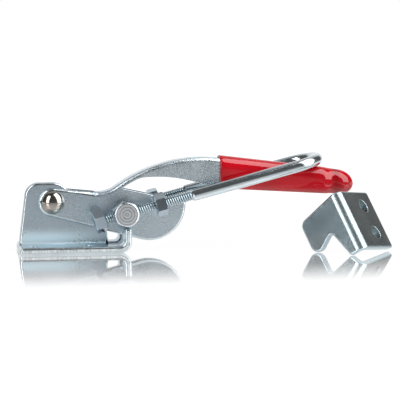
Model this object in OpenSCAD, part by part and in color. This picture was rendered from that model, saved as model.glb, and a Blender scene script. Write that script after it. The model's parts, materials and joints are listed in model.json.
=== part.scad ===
// Latch toggle clamp: two-bracket base, stamped channel lever with a dipped grip,
// a U-bolt carried in two hexagonal trunnions, and the separate hook plate it catches.
// X runs along the pull, Z is up from the mounting face, and Y = 0 is the middle plane.
// The origin is the centre of the four base holes.

/* [Base brackets] */
// Thickness of the base sheet
base_t = 3.2; // [2.6:0.1:4]
// Width over both flanges
base_w = 30; // [28:0.5:38]
// Distance of the lips' outer faces past the trunnion that they stop
lip_past = 2.4; // [2:0.1:3]
// Inside radius of the bends
base_bend_r = 2.2; // [1.5:0.1:3]
// Height of the pivot above the mounting face
pivot_h = 23; // [22:0.5:28]
// Distance of the pivot from the plain end of the flange
pivot_back = 16; // [15:0.5:20]
// Distance of the front end of the ear from the pivot
ear_front = 25.4; // [22:0.2:26]
// Height of the ear above the pivot
ear_crown = 9; // [8:0.2:12]
// Radius of the rear top corner of the ear
ear_corner_r = 6.5; // [4:0.5:7]
// Lean of the rear edge of the ear, in degrees
ear_lean = 7; // [2:1:10]
// Diameter of the base holes
hole_d = 5; // [4:0.1:6]
// Distance between the base holes along X
hole_pitch_x = 24.5; // [20:0.5:26]
// Distance between the base holes along Y
hole_pitch_y = 20; // [18:0.5:22]
// Distance of the base hole centre from the pivot
hole_offset = 2.7; // [0:0.1:5]

/* [Pivot rivet] */
// Diameter of the rivet shank
rivet_d = 6.3; // [5:0.1:8]
// Diameter of the domed heads
rivet_head_d = 11; // [9:0.2:12]
// Height of the domed heads
rivet_head_h = 3.5; // [2.5:0.1:4.5]

/* [Lever] */
// Thickness of the lever sheet
lever_t = 1.6; // [1.2:0.1:2]
// Radius of the round end of the cheeks about the pivot
cheek_r = 6.6; // [6:0.1:8]
// Slope of the top edge of the cheeks, in degrees
cheek_slope = 6; // [3:1:9]
// Distance of the web's rear end from the pivot
web_start = 19.6; // [18:0.2:22]
// Radius of the rise of the web
rise_r = 14; // [10:0.5:18]
// Steepest slope of the web, in degrees
rise_slope = 35.5; // [30:0.5:40]
// Radius of the long crown of the web
crown_r = 70; // [60:1:80]
// Slope of the straight grip end, in degrees
grip_slope = 7; // [5:0.5:9]
// Length of the straight grip end
shank_l = 52; // [46:1:60]
// Outside radius of the bends between web and sides
lever_bend_r = 2.1; // [1.8:0.1:2.6]
// Radius of the lobe of the cheeks
lobe_r = 16.9; // [15:0.2:18]
// Distance of the lobe's centre from the pivot
lobe_x = 45.2; // [42:0.2:47]
// Drop of the lobe's centre below the pivot
lobe_drop = 1.5; // [0:0.1:2]
// Slope of the top edge of the lobe, in degrees
lobe_slope = 12.5; // [9:0.5:15]
// Depth of the side walls at the grip
side_depth = 13.4; // [11:0.2:15]
// Depth of the side walls at the tip
tip_depth = 9.8; // [8:0.2:11]
// Length over which the side walls grow
side_taper = 32; // [26:1:36]

/* [Grip] */
// Wall of the dipped grip
grip_wall = 1.3; // [1:0.1:1.8]
// Length of the grip's round nose
nose_l = 12.2; // [10:0.2:14]
// Depth of the waist behind the nose
nose_waist = 1.8; // [1:0.1:2]
// Radius of the grip's long edges
grip_edge_r = 3.2; // [2.8:0.1:4]

/* [U-bolt and trunnions] */
// Diameter of the plain rod
rod_d = 5.6; // [5.2:0.1:6]
// Diameter of the threads
thread_d = 4.8; // [4:0.1:5]
// Gap between the rivet's heads and the legs that swing past them
leg_clear = 0.3; // [0.3:0.1:2]
// Distance of the trunnions from the pivot
trunnion_arm = 33.4; // [32:0.2:36]
// Drop of the trunnion below the pivot, in degrees
trunnion_dip = 8.6; // [6:0.2:10]
// Reach from the trunnion to the middle of the loop
reach = 95.4; // [88:0.2:98]
// Threaded length ahead of the trunnion
thread_front = 32; // [26:0.5:36]
// Threaded length behind the trunnion
thread_rear = 15.4; // [15:0.1:17]
// Width of the trunnions across flats
trunnion_af = 11; // [9:0.1:12]
// Length of the trunnions beyond the legs
trunnion_end = 5.2; // [4:0.1:7]
// Diameter of the trunnions' journals
journal_d = 6.4; // [5:0.1:7]
// Width of the nuts across flats
nut_af = 9.5; // [8:0.1:10]
// Thickness of the nuts
nut_t = 5; // [4.6:0.1:5.2]
// Distance of the jam nuts ahead of the trunnion
jam_at = 16.7; // [12:0.1:18]
// Distance of the load nuts behind the trunnion
load_at = 12.6; // [12:0.1:13]

/* [Hook plate] */
// Thickness of the hook plate
plate_t = 3.2; // [2.6:0.1:4]
// Length of the plate along its bend
plate_l = 29.6; // [28:0.2:34]
// Width of the flange from the hook's outer face
plate_w = 27.4; // [24:0.2:30]
// Inside radius of the bend
plate_bend_r = 1.2; // [0.8:0.1:2]
// Diameter of the screw holes
screw_d = 6.4; // [5:0.1:7]
// Distance between the screw holes
screw_pitch = 13.9; // [13:0.1:16]
// Distance of the screw holes from the hook's outer face
screw_at = 17.6; // [15:0.1:19]
// Height of the hook above the flange's outer face
hook_h = 25.2; // [24:0.2:28]
// Height of the hook's foot above the flange's outer face
hook_foot = 8.5; // [8:0.1:9]
// Radius of the corner of the foot
foot_r = 1.5; // [1:0.1:2]
// Radius at the end of the throat
throat_r = 1.6; // [1.2:0.1:1.8]
// Height of the throat's end above the flange's outer face
throat_h = 13.3; // [13:0.1:14]
// Distance of the throat's end from the foot
throat_deep = 11.6; // [11:0.1:13]
// Radius of the tip of the hook's finger
finger_r = 4; // [3.8:0.1:4.2]
// Distance of the tip's centre from the foot
finger_at = 13.5; // [13:0.1:14]
// Radius of the hook's shoulder
shoulder_r = 4; // [3:0.2:5]
// Distance of the shoulder's centre from the foot
shoulder_at = 22.6; // [21:0.2:24]
// Place of the plate's bend ahead of the pivot
plate_x = 137.7; // [135:0.1:150]
// Place of the plate's bend in front of the middle plane
plate_y = 44.6; // [40:0.2:55]
// Turn of the plate on the surface, in degrees
plate_turn = 46.9; // [40:0.1:50]

/* [Fits] */
// Running gap between flat faces that turn past each other
side_gap = 0.2; // [0.15:0.05:0.3]
// Radial running gap in the pivot and trunnion bores
bore_gap = 0.06; // [0.03:0.01:0.1]
// Radial gap of the threads in the nuts and trunnions
thread_gap = 0.1; // [0.05:0.05:0.2]
// Gap of the trunnions over the lips that stop them
stop_gap = 0.35; // [0.3:0.05:0.6]
// Gap of the loop over the grip that it lies on
lay_gap = 0.8; // [0.8:0.1:1.2]

/* [Hidden] */

zinc = [0.62, 0.68, 0.71];
bright_zinc = [0.70, 0.75, 0.77];
nickel = [0.76, 0.73, 0.69];
grip_red = [0.78, 0.03, 0.07];
round_fn = 64;

// Widths of the stack from the middle plane outwards
cheek_in = base_t + side_gap;
cheek_out = cheek_in + lever_t;
head_in = cheek_out + side_gap;
leg_y = head_in + rivet_head_h + leg_clear + rod_d / 2;
grip_half = cheek_out + grip_wall;

// Places in the middle plane, measured from the pivot
pivot_at = [-hole_offset, pivot_h];
trunnion_at = trunnion_arm * [cos(-trunnion_dip), sin(-trunnion_dip)];
flange_front = trunnion_at[0] + lip_past;
trunnion_corner = trunnion_af / 2 / cos(30);
lip_h = pivot_h + trunnion_at[1] - trunnion_corner - stop_gap;
bend_out_r = base_bend_r + base_t;
lip_in = cheek_out + 5 * side_gap;
over = 1;

// Outside of the lever's web: a rise, a long crown and a straight grip end
edge_start = cheek_r * [sin(cheek_slope), cos(cheek_slope)];
rise_from = [web_start, edge_start[1] - (web_start - edge_start[0]) * tan(cheek_slope)];
rise_centre = rise_from + rise_r * [sin(cheek_slope), cos(cheek_slope)];
rise_to = rise_centre + rise_r * [sin(rise_slope), -cos(rise_slope)];
crown_centre = rise_to + crown_r * [sin(rise_slope), -cos(rise_slope)];
crown_to = crown_centre + crown_r * [sin(grip_slope), cos(grip_slope)];
grip_dir = [cos(grip_slope), -sin(grip_slope)];
tip_at = crown_to + shank_l * grip_dir;
crown_top = [sin(grip_slope), cos(grip_slope)];
taper_to = crown_to[0] - lobe_r / 3;
taper_from = taper_to - side_taper;

// Tangent line under the cheek, from the round end to the lobe, and the neck where the lobe leaves the web
lobe_at = [lobe_x, -lobe_drop];
neck_x = rise_to[0] + lever_bend_r;
cheek_turn = atan2(lobe_at[1], lobe_at[0]) - acos(-(lobe_r - cheek_r) / norm(lobe_at));

// Rest angle of the U-bolt: its loop lies on the top of the grip
grip_top = crown_to + grip_wall * crown_top;
loop_rise = rod_d / 2 + lay_gap - (trunnion_at - grip_top) * crown_top;
bolt_a = 90 - grip_slope - acos(loop_rise / reach);

function turned(r, a) = r * [cos(a), sin(a)];
function arc(c, r, a0, a1, n) = [for (i = [0:n]) c + turned(r, a0 + (a1 - a0) * i / n)];
function between(a, b, n) = [for (i = [0:n]) a + (b - a) * i / n];
function mirrored(half) = concat(half, [for (i = [len(half) - 1:-1:0]) [-half[i][0], half[i][1]]]);

// Height and slope of the web's outside at a distance from the pivot
function web_z(x) =
    x < rise_to[0] ? rise_centre[1] - sqrt(rise_r * rise_r - pow(x - rise_centre[0], 2)) :
    x < crown_to[0] ? crown_centre[1] + sqrt(crown_r * crown_r - pow(x - crown_centre[0], 2)) :
    crown_to[1] - (x - crown_to[0]) * tan(grip_slope);
function web_slope(x) =
    x < rise_to[0] ? asin((x - rise_centre[0]) / rise_r) :
    x < crown_to[0] ? -asin((x - crown_centre[0]) / crown_r) : -grip_slope;

// Depth of the shank's side walls below the web's outside
side_min = lever_bend_r + lever_t / 2;
function side_z(x) =
    x < taper_from ? side_min :
    x < taper_to ? side_min + (side_depth - side_min) * (x - taper_from) / side_taper :
    side_depth + (tip_depth - side_depth) * (x - taper_to) / (tip_at[0] - taper_to);

// A solid through rings of points that all run the same way round
module loft(rings) {
    n = len(rings[0]);
    m = len(rings);
    sides = [for (j = [0:m - 2], i = [0:n - 1])
        [(j + 1) * n + i, (j + 1) * n + (i + 1) % n, j * n + (i + 1) % n, j * n + i]];
    caps = [[for (i = [0:n - 1]) i], [for (i = [n - 1:-1:0]) (m - 1) * n + i]];
    polyhedron(points = [for (ring = rings) each ring], faces = concat(sides, caps), convexity = 8);
}

// A plate cut from an outline in X and Z, between two distances from the middle plane
module side_plate(y0, y1) {
    translate([0, y1, 0]) rotate([90, 0, 0]) linear_extrude(y1 - y0, convexity = 6) children();
}

module at_pivot() translate([pivot_at[0], 0, pivot_at[1]]) children();

// The U-bolt's own frame: X along the rods, origin on the trunnion axis
module at_trunnion() {
    at_pivot() translate([trunnion_at[0], 0, trunnion_at[1]]) rotate([0, -bolt_a, 0]) children();
}

module cross_bore(d, length) rotate([90, 0, 0]) cylinder(d = d, h = length, center = true, $fn = round_fn);

module ear_outline() {
    tangent_from = [ear_front, -pivot_h + base_t + 5 / 2 * base_bend_r];
    tangent_a = atan2(tangent_from[1], tangent_from[0]) + acos(ear_crown / norm(tangent_from));
    corner_z = ear_crown - ear_corner_r;
    corner_x = -pivot_back + (ear_corner_r + (corner_z + pivot_h) * sin(ear_lean)) / cos(ear_lean);
    polygon(concat(
        [[-pivot_back, -pivot_h], [ear_front, -pivot_h], tangent_from],
        arc([0, 0], ear_crown, tangent_a, 90, 12),
        arc([corner_x, corner_z], ear_corner_r, 90, 180 - ear_lean, 12)));
}

// Section of ear, bend and flange in Y and Z, for the bracket on the -Y side
module angle_section() {
    bend_c = [-bend_out_r, bend_out_r];
    high = pivot_h + ear_crown + over;
    polygon(concat(
        [[0, high]],
        arc(bend_c, bend_out_r, 0, -90, 10),
        [[-base_w / 2, 0], [-base_w / 2, base_t]],
        arc(bend_c, base_bend_r, -90, 0, 10),
        [[-base_t, high]]));
}

// Flange and the lip that turns up at its front end, in X and Z from the pivot
module lip_outline() {
    bend_c = [flange_front - bend_out_r, bend_out_r - pivot_h];
    polygon(concat(
        [[-pivot_back, -pivot_h]],
        arc(bend_c, bend_out_r, -90, 0, 10),
        [[flange_front, lip_h - pivot_h], [flange_front - base_t, lip_h - pivot_h]],
        arc(bend_c, base_bend_r, 0, -90, 10),
        [[-pivot_back, base_t - pivot_h]]));
}

module bracket() {
    difference() {
        union() {
            intersection() {
                translate([pivot_at[0] - pivot_back, 0, 0]) rotate([90, 0, 90])
                    linear_extrude(pivot_back + ear_front) angle_section();
                at_pivot() side_plate(-base_w, over) ear_outline();
            }
            at_pivot() side_plate(-base_w / 2, -max(bend_out_r, lip_in)) lip_outline();
        }
        at_pivot() cross_bore(rivet_d + 2 * bore_gap, 4 * base_t);
        for (x = [-1, 1])
            translate([x * hole_pitch_x / 2, -hole_pitch_y / 2, -over])
                cylinder(d = hole_d, h = base_t + 2 * over, $fn = round_fn);
    }
}

module base_bracket_front() color(zinc) bracket();
module base_bracket_rear() color(zinc) mirror([0, 1, 0]) bracket();

module pivot_rivet() {
    dome_r = (pow(rivet_head_d / 2, 2) + pow(rivet_head_h, 2)) / (2 * rivet_head_h);
    dome_a = asin(rivet_head_d / 2 / dome_r);
    color(nickel) at_pivot() {
        cross_bore(rivet_d, 2 * head_in);
        for (side = [0, 180])
            rotate([90, 0, side]) translate([0, 0, head_in]) rotate_extrude($fn = round_fn)
                polygon(concat([[0, 0]], arc([0, rivet_head_h - dome_r], dome_r, 90 - dome_a, 90, 12)));
    }
}

// Cheek with its round end and lobe; its top edge runs inside the bend up to the web
module cheek_outline() {
    tuck = lever_bend_r + lever_t / 8;
    neck = [neck_x, web_z(neck_x) - tuck];
    lobe_dir = [cos(lobe_slope), -sin(lobe_slope)];
    lobe_from = neck - lobe_at;
    along = -(lobe_from * lobe_dir);
    lobe_end = neck + (along + sqrt(along * along - lobe_from * lobe_from + lobe_r * lobe_r)) * lobe_dir;
    lobe_end_a = atan2(lobe_end[1] - lobe_at[1], lobe_end[0] - lobe_at[0]);
    difference() {
        polygon(concat(
            arc([0, 0], cheek_r, 90 - cheek_slope, 360 + cheek_turn, 24),
            arc(lobe_at, lobe_r, cheek_turn, lobe_end_a, 24),
            [for (x = between(neck_x, web_start, 12)) [x, web_z(x) - tuck]],
            [rise_from]));
        circle(d = rivet_d + 2 * bore_gap, $fn = round_fn);
        translate(trunnion_at) circle(d = journal_d + 2 * bore_gap, $fn = round_fn);
    }
}

// Solid section of the shank at a distance from the pivot, round on both top edges
function shank_ring(x) = let (top = web_z(x))
    [for (p = mirrored(concat([[cheek_out, top - side_z(x)]],
        arc([cheek_out - lever_bend_r, top - lever_bend_r], lever_bend_r, 0, 90, 6)))) [x, p[0], p[1]]];

// Hollow of the channel: the web's inside, and everything below it
module hollow_outline(stations) {
    inside = [for (x = stations) [x, web_z(x)] - lever_t * [-sin(web_slope(x)), cos(web_slope(x))]];
    last = inside[len(inside) - 1] + 2 * nose_l * grip_dir;
    first = inside[0] - lever_t * [cos(cheek_slope), -sin(cheek_slope)];
    polygon(concat([[last[0], -pivot_h], [first[0], -pivot_h], first], inside, [last]));
}

module lever() {
    stations = concat(between(rise_from[0], rise_to[0], 8), between(rise_to[0], crown_to[0], 20), [tip_at[0]]);
    rings = [for (i = [0:len(stations) - 1]) if (i == 0 || stations[i] > stations[i - 1]) stations[i]];
    color(bright_zinc) at_pivot() {
        for (side = [0, 1])
            mirror([0, side, 0]) side_plate(cheek_in, cheek_out) cheek_outline();
        difference() {
            loft([for (x = rings) shank_ring(x)]);
            side_plate(-cheek_in, cheek_in) hollow_outline(rings);
        }
    }
}

// Ring of a rounded box at a distance from the pivot
function box_ring(x, half, low, top, r) = let (
    mid = (top + low) / 2,
    tall = (top - low) / 2 - r)
    [for (c = [[1, 1, 0], [-1, 1, 90], [-1, -1, 180], [1, -1, 270]])
        each [for (p = arc([c[0] * (half - r), mid + c[1] * tall], r, c[2], c[2] + 90, 6)) [x, p[0], p[1]]]];

module grip() {
    start_x = crown_to[0];
    end_x = tip_at[0] + grip_wall;
    nose_x = end_x + nose_l;
    function low(x) = web_z(x) - side_z(x) - grip_wall;
    function top(x) = web_z(x) + grip_wall;
    // Share of the full section along the nose: a waist, then a round end with a small flat
    half_way = 0.5;
    flat = 0.12;
    rest = 0.9;
    function nose_half(s) = grip_half - nose_waist * sin(min(1, s / half_way) * 180);
    function nose_round(s) = s < half_way ? 1 : sqrt(1 - (1 - flat * flat) * pow(s / half_way - 1, 2));
    function nose_ring(s) = let (
        x = end_x + s * nose_l,
        mid = (top(end_x) + low(end_x)) / 2 - s * nose_l * tan(grip_slope),
        tall = (top(end_x) - low(end_x)) / 2 * nose_round(s),
        wide = nose_half(s) * nose_round(s))
        box_ring(x, wide, mid - tall, mid + tall, min(grip_edge_r, wide * rest, tall * rest));
    color(grip_red) at_pivot() difference() {
        loft(concat(
            [box_ring(start_x, grip_half, low(start_x), top(start_x), grip_edge_r)],
            [for (s = between(0, half_way, 6)) nose_ring(s)],
            [for (a = between(15, 90, 5)) nose_ring(half_way + half_way * sin(a))]));
        loft([for (x = [start_x - over, start_x, tip_at[0]]) shank_ring(x)]);
    }
}

// Radius where the chamfer of a hexagon's corners meets its end face
function chamfer_r(af) = af / 2 * 0.97;

// Hexagonal pillar with a turned end, a journal through the cheek and a peened tail
module trunnion() {
    length = leg_y + trunnion_end - head_in;
    face_r = chamfer_r(trunnion_af);
    tail_t = lever_t * 3 / 4;
    tail_d = journal_d + lever_t;
    tail_at = cheek_in - side_gap;
    color(bright_zinc) at_trunnion() difference() {
        union() {
            rotate([90, 0, 0]) translate([0, 0, head_in]) intersection() {
                rotate([0, 0, 30]) cylinder(r = trunnion_corner, h = length, $fn = 6);
                cylinder(r1 = face_r + length, r2 = face_r, h = length, $fn = round_fn);
            }
            rotate([90, 0, 0]) translate([0, 0, tail_at])
                cylinder(d = journal_d, h = head_in - tail_at, $fn = round_fn);
            rotate([90, 0, 0]) translate([0, 0, tail_at - tail_t])
                cylinder(d = tail_d, h = tail_t, $fn = round_fn);
        }
        translate([-trunnion_af, -leg_y, 0]) rotate([0, 90, 0])
            cylinder(d = thread_d + 2 * thread_gap, h = 2 * trunnion_af, $fn = round_fn);
    }
}

module trunnion_front() trunnion();
module trunnion_rear() mirror([0, 1, 0]) trunnion();

module u_bolt() {
    shoulder = (rod_d - thread_d) / 2;
    thread_l = thread_rear + thread_front;
    bend_x = reach - leg_y;
    color(bright_zinc) at_trunnion() {
        for (side = [-1, 1]) translate([-thread_rear, side * leg_y, 0]) rotate([0, 90, 0]) {
            cylinder(d1 = thread_d - 2 * shoulder, d2 = thread_d, h = shoulder, $fn = round_fn);
            translate([0, 0, shoulder]) cylinder(d = thread_d, h = thread_l - shoulder, $fn = round_fn);
            translate([0, 0, thread_l]) cylinder(d1 = thread_d, d2 = rod_d, h = shoulder, $fn = round_fn);
            translate([0, 0, thread_l + shoulder])
                cylinder(d = rod_d, h = bend_x - thread_front - shoulder, $fn = round_fn);
        }
        translate([bend_x, 0, 0]) rotate([0, 0, -90]) rotate_extrude(angle = 180, $fn = round_fn)
            translate([leg_y, 0]) circle(d = rod_d, $fn = round_fn);
    }
}

// Hexagon nut with both faces chamfered, centred on a rod at a distance along it
module nut(along, side, turn) {
    corner = nut_af / 2 / cos(30);
    face_r = chamfer_r(nut_af);
    wide_r = face_r + 2 * nut_t;
    color(zinc) at_trunnion() translate([along, side * leg_y, 0]) rotate([turn, 0, 0]) rotate([0, 90, 0])
        difference() {
            intersection() {
                cylinder(r = corner, h = nut_t, center = true, $fn = 6);
                cylinder(r1 = face_r, r2 = wide_r, h = nut_t, center = true, $fn = round_fn);
                cylinder(r1 = wide_r, r2 = face_r, h = nut_t, center = true, $fn = round_fn);
            }
            cylinder(d = thread_d + 2 * thread_gap, h = nut_t + over, center = true, $fn = round_fn);
        }
}

module load_nut_front() nut(-load_at, -1, 7);
module load_nut_rear() nut(-load_at, 1, 10);
module jam_nut_front() nut(jam_at, -1, 56);
module jam_nut_rear() nut(jam_at, 1, 40);

// Hook plate's own frame: X across the flange, Y up the hook, Z along the bend
plate_out_r = plate_bend_r + plate_t;
foot_c = [hook_foot - foot_r, foot_r];
throat_c = [throat_h, throat_deep];
finger_c = [hook_h - finger_r, finger_at];
shoulder_c = [hook_h - shoulder_r, shoulder_at];
top_corner = [plate_out_r, plate_l];

// Angle of a straight edge that leaves one round on its left and passes another.
// It leaves it on its right if r is negative.
function tangent_a(apart, r) = atan2(apart[1], apart[0]) + asin(r / norm(apart));

// Hook outline: X is the height above the flange's outer face, Y runs along the bend
module hook_outline() {
    mouth_a = tangent_a(throat_c - foot_c, throat_r + foot_r);
    flank_a = tangent_a(finger_c - throat_c, -throat_r - finger_r);
    top_a = tangent_a(shoulder_c - top_corner, shoulder_r);
    polygon(concat(
        [[0, 0]],
        arc(foot_c, foot_r, -90, mouth_a - 90, 6),
        arc(throat_c, throat_r, mouth_a + 90, flank_a + 90, 10),
        arc(finger_c, finger_r, flank_a - 90, 0, 14),
        arc(shoulder_c, shoulder_r, 0, top_a + 90, 10),
        [top_corner, [0, plate_l]]));
}

// The plate stands on the foot of its hook, the tip of the finger and the flange's inner corner
module hook_plate() {
    slope_v = tan(tangent_a(finger_c - foot_c, foot_r - finger_r));
    foot_under = foot_r * norm([slope_v, 1]) - foot_c[1];
    slope_w = (slope_v * (foot_c[0] - plate_t) + foot_under) / (plate_w - plate_t);
    up = [-slope_w, -slope_v, 1];
    drop = (up * [plate_w, plate_t, 0]) / norm(up);
    color(zinc) translate([pivot_at[0] + plate_x, -plate_y, -drop]) rotate([0, 0, plate_turn])
        rotate(a = acos(1 / norm(up)), v = [-slope_v, slope_w, 0]) difference() {
            union() {
                intersection() {
                    rotate([90, 0, 90]) linear_extrude(plate_t) hook_outline();
                    translate([-over, plate_out_r, -over])
                        cube([plate_t + 2 * over, hook_h, plate_l + 2 * over]);
                }
                linear_extrude(plate_l) polygon(concat(
                    arc([plate_out_r, plate_out_r], plate_out_r, 180, 270, 12),
                    [[plate_w, 0], [plate_w, plate_t]],
                    arc([plate_out_r, plate_out_r], plate_bend_r, 270, 180, 12)));
            }
            for (z = [-1, 1])
                translate([screw_at, -over, plate_l / 2 + z * screw_pitch / 2]) rotate([-90, 0, 0])
                    cylinder(d = screw_d, h = plate_t + 2 * over, $fn = round_fn);
        }
}

base_bracket_front();
base_bracket_rear();
pivot_rivet();
lever();
grip();
trunnion_front();
trunnion_rear();
u_bolt();
load_nut_front();
load_nut_rear();
jam_nut_front();
jam_nut_rear();
hook_plate();
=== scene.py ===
import json
import math

import bpy
from mathutils import Matrix, Vector, noise


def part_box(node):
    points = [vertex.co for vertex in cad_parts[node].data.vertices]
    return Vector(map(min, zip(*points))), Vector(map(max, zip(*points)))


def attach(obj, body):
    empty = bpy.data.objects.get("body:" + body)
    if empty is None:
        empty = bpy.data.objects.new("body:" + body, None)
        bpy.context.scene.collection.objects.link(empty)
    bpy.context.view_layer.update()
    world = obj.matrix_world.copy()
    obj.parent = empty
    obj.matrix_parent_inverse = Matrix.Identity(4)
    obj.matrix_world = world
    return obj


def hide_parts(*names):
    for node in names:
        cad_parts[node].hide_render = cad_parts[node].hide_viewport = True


mm = 0.001
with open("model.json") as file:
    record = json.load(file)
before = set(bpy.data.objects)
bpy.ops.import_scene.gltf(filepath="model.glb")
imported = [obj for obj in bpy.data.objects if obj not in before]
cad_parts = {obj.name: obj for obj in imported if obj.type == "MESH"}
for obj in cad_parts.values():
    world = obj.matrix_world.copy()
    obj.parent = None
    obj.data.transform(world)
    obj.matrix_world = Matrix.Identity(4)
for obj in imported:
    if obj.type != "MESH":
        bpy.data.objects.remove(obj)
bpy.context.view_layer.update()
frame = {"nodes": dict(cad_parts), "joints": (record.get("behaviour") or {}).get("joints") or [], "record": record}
cadNodes = frame["nodes"]
joints = {joint["name"]: joint for joint in frame["joints"]}
pivotAt = Vector(joints["lever_hinge"]["pos_m"])
trunnionAt = Vector(joints["trunnion_hinge"]["pos_m"])
rodWay = Vector(joints["bolt_slide"]["axis"])
rodTilt = math.atan2(rodWay.x, rodWay.z)  # turns local Z on to the rods
print("frame loaded,", len(cadNodes), "solids")


# working helpers: one piece open at a time, nothing else selected
def clearSelection():
    if bpy.context.object and bpy.context.object.mode != "OBJECT":
        bpy.ops.object.mode_set(mode="OBJECT")
    bpy.ops.object.select_all(action="DESELECT")


def pickUp(piece):
    clearSelection()
    bpy.context.view_layer.objects.active = piece
    piece.select_set(True)


def newPiece(name):
    piece = bpy.context.active_object
    piece.name = name
    piece.data.name = name
    return piece


def openMesh(piece, what="FACE", whole=False):
    pickUp(piece)
    bpy.ops.object.mode_set(mode="EDIT")
    bpy.ops.mesh.select_mode(type=what)
    bpy.ops.mesh.select_all(action="SELECT" if whole else "DESELECT")


def closeMesh():
    bpy.ops.object.mode_set(mode="OBJECT")


def selectFaces(piece, wanted):
    openMesh(piece, "FACE")
    closeMesh()
    for face in piece.data.polygons:
        face.select = wanted(face.center, face.normal, face.area)
    bpy.ops.object.mode_set(mode="EDIT")


def selectEdges(piece, wanted):
    openMesh(piece, "EDGE")
    closeMesh()
    points = piece.data.vertices
    for edge in piece.data.edges:
        edge.select = all(wanted(points[i].co) for i in edge.vertices)
    bpy.ops.object.mode_set(mode="EDIT")


def mergeAndTurnOut(piece, near=0.002 * mm):
    openMesh(piece, "VERT", whole=True)
    bpy.ops.mesh.remove_doubles(threshold=near)
    bpy.ops.mesh.normals_make_consistent(inside=False)
    closeMesh()


def addModifier(piece, kind, **settings):
    pickUp(piece)
    bpy.ops.object.modifier_add(type=kind)
    modifier = piece.modifiers[-1]
    for key, value in settings.items():
        setattr(modifier, key, value)
    bpy.ops.object.modifier_apply(modifier=modifier.name)


def smoothOff(piece, angle=35):
    pickUp(piece)
    bpy.ops.object.shade_smooth_by_angle(angle=math.radians(angle))


def evenNormals(piece):
    addModifier(piece, "WEIGHTED_NORMAL", keep_sharp=True, weight=60)


def setDown(piece, place):
    piece.matrix_world = place
    pickUp(piece)
    bpy.ops.object.transform_apply(location=True, rotation=True, scale=True)


def paint(piece, *finishes):
    piece.data.materials.clear()
    for finish in finishes:
        piece.data.materials.append(finish)


def paintFaces(piece, index, wanted):
    for face in piece.data.polygons:
        if wanted(face.center, face.normal):
            face.material_index = index


def weld(piece, near=0.002 * mm):
    openMesh(piece, "VERT", whole=True)
    bpy.ops.mesh.remove_doubles(threshold=near)
    bpy.ops.mesh.dissolve_limited(angle_limit=math.radians(0.25))
    closeMesh()


def solidCopy(node, name):
    pickUp(cadNodes[node])
    bpy.ops.object.duplicate()
    piece = newPiece(name)
    for key in list(piece.keys()):
        del piece[key]
    piece.parent = None
    weld(piece)
    return piece


# every sharp edge is rounded by its own share of the widest rounding
def roundEdges(piece, widest, share, segments=4, wornIndex=1):
    openMesh(piece, "EDGE")
    bpy.ops.mesh.edges_select_sharp(sharpness=math.radians(35))
    closeMesh()
    weights = piece.data.attributes.new("bevel_weight_edge", "FLOAT", "EDGE")
    points = piece.data.vertices
    for edge in piece.data.edges:
        if edge.select:
            weights.data[edge.index].value = share(*(points[i].co for i in edge.vertices))
    addModifier(
        piece, "BEVEL", width=widest, segments=segments, limit_method="WEIGHT",
        use_clamp_overlap=False, loop_slide=False, miter_outer="MITER_ARC", material=wornIndex,
    )
    smoothOff(piece)
    evenNormals(piece)


def carry(piece, body, slot, *nodes):
    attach(piece, body)
    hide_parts(*nodes)


# shader helpers
def addNode(tree, kind, **settings):
    node = tree.nodes.new(kind)
    for key, value in settings.items():
        setattr(node, key, value)
    return node


def join(tree, start, end):
    tree.links.new(start, end)


def newGroup(name, inputs, outputs):
    group = bpy.data.node_groups.new(name, "ShaderNodeTree")
    kinds = {"value": "NodeSocketFloat", "colour": "NodeSocketColor", "vector": "NodeSocketVector"}
    for label, kind, start in inputs:
        socket = group.interface.new_socket(name=label, in_out="INPUT", socket_type=kinds[kind])
        socket.default_value = start
    for label, kind in outputs:
        group.interface.new_socket(name=label, in_out="OUTPUT", socket_type=kinds[kind])
    return group, group.nodes.new("NodeGroupInput"), group.nodes.new("NodeGroupOutput")


def noiseAt(tree, coords, scale, detail=3.0, rough=0.55):
    node = addNode(tree, "ShaderNodeTexNoise")
    node.inputs["Detail"].default_value = detail
    node.inputs["Roughness"].default_value = rough
    join(tree, coords, node.inputs["Vector"])
    if isinstance(scale, (int, float)):
        node.inputs["Scale"].default_value = scale
    else:
        join(tree, scale, node.inputs["Scale"])
    return node.outputs["Fac"]


def spread(tree, value, low, high, toLow=0.0, toHigh=1.0):
    node = addNode(tree, "ShaderNodeMapRange", interpolation_type="SMOOTHSTEP")
    join(tree, value, node.inputs["Value"])
    for label, setting in (("From Min", low), ("From Max", high), ("To Min", toLow), ("To Max", toHigh)):
        if isinstance(setting, (int, float)):
            node.inputs[label].default_value = setting
        else:
            join(tree, setting, node.inputs[label])
    return node.outputs["Result"]


def sums(tree, how, first, second):
    node = addNode(tree, "ShaderNodeMath", operation=how)
    for i, value in enumerate((first, second)):
        if isinstance(value, (int, float)):
            node.inputs[i].default_value = value
        else:
            join(tree, value, node.inputs[i])
    return node.outputs[0]


def blendColours(tree, share, first, second, how="MIX"):
    node = addNode(tree, "ShaderNodeMix", data_type="RGBA", blend_type=how)
    for label, value in ((0, share), (6, first), (7, second)):
        if isinstance(value, (int, float)):
            node.inputs[label].default_value = value
        elif isinstance(value, tuple):
            node.inputs[label].default_value = value
        else:
            join(tree, value, node.inputs[label])
    return node.outputs[2]


def colour(r, g, b):
    return (r, g, b, 1.0)


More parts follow.
